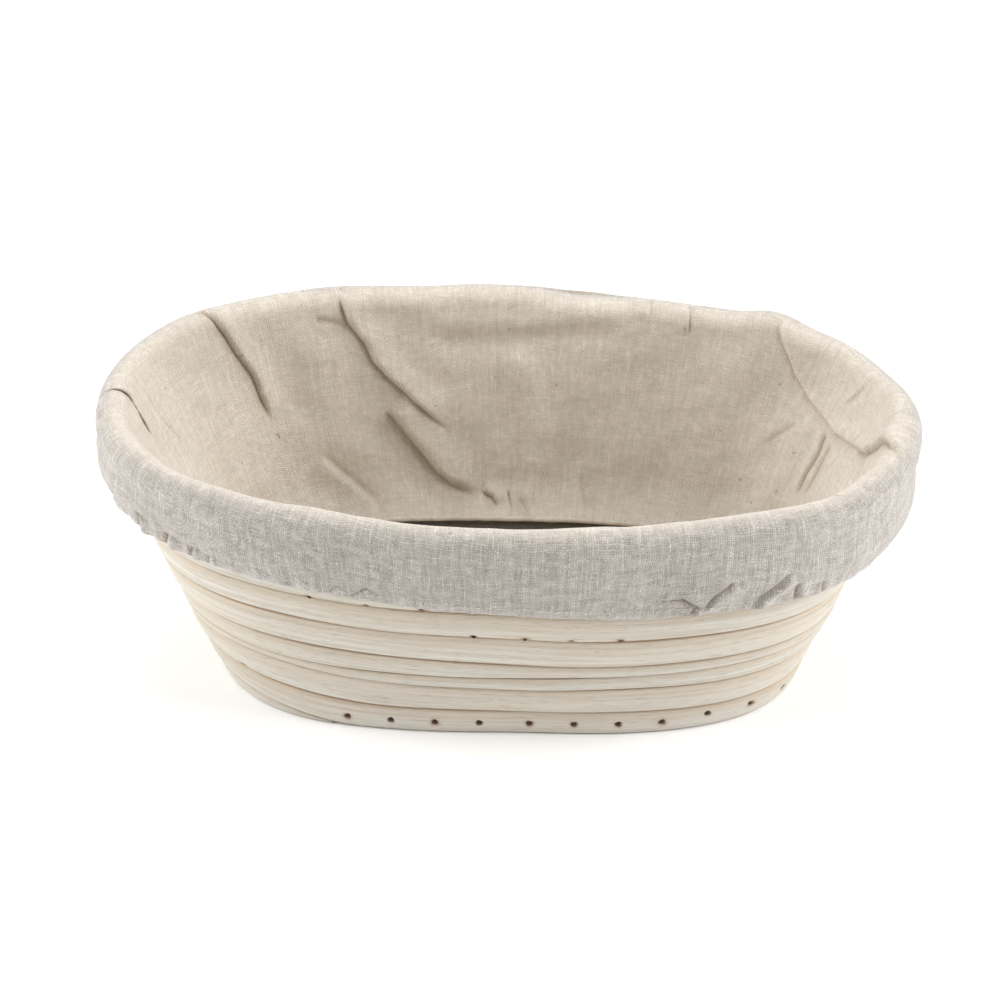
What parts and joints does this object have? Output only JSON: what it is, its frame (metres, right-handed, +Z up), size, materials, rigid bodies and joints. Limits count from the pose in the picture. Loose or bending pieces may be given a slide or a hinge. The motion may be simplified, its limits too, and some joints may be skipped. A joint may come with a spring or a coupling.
{
  "type": "oval banneton proofing basket",
  "caption": "Oval coiled rattan proofing basket for bread dough, with a removable elasticated linen liner folded over its rim.",
  "frame": {"origin": "centre of the flat underside, on the surface the basket stands on", "axes": "+X along the long axis to the basket's right end, -Y to the front, +Z up"},
  "size_m": [0.2504, 0.1517, 0.0828],
  "materials": {
    "cane": "peeled natural rattan, matt, fine lengthwise fibres",
    "nail": "small steel brads, browned by damp",
    "linen": "plain-weave unbleached linen with slubs",
    "elastic": "woven elastic tape, matt",
    "thread": "spun sewing thread"
  },
  "bodies": {
    "basket": {"floor_cane": "cane", "wall_cane_lower": "cane", "wall_cane_middle": "cane", "wall_cane_upper": "cane", "base_nail_01": "nail", "base_nail_02": "nail", "base_nail_03": "nail", "base_nail_04": "nail", "base_nail_05": "nail", "base_nail_06": "nail", "base_nail_07": "nail", "base_nail_08": "nail", "base_nail_09": "nail", "base_nail_10": "nail", "base_nail_11": "nail", "base_nail_12": "nail", "base_nail_13": "nail", "base_nail_14": "nail", "base_nail_15": "nail", "base_nail_16": "nail", "base_nail_17": "nail", "base_nail_18": "nail", "base_nail_19": "nail", "base_nail_20": "nail", "base_nail_21": "nail", "base_nail_22": "nail", "base_nail_23": "nail", "base_nail_24": "nail", "base_nail_25": "nail", "base_nail_26": "nail", "base_nail_27": "nail", "base_nail_28": "nail", "base_nail_29": "nail", "base_nail_30": "nail", "base_nail_31": "nail", "base_nail_32": "nail", "base_nail_33": "nail", "base_nail_34": "nail", "tie_nail_01": "nail", "tie_nail_02": "nail", "tie_nail_03": "nail", "tie_nail_04": "nail", "tie_nail_05": "nail", "tie_nail_06": "nail", "tie_nail_07": "nail", "tie_nail_08": "nail", "tie_nail_09": "nail", "tie_nail_10": "nail"},
    "liner": {"liner_floor_panel": "linen", "liner_front_panel": "linen", "liner_back_panel": "linen", "elastic_band": "elastic", "floor_seam_thread": "thread", "hem_thread": "thread", "left_end_seam_thread": "thread", "right_end_seam_thread": "thread"}
  },
  "joints": [
    {"name": "liner_lift", "type": "slide", "parent": "basket", "child": "liner", "axis": [0, 0, 1], "range_m": [0, 0.11], "deforming": ["liner_front_panel", "liner_back_panel", "elastic_band", "hem_thread", "left_end_seam_thread", "right_end_seam_thread"]}
  ]
}
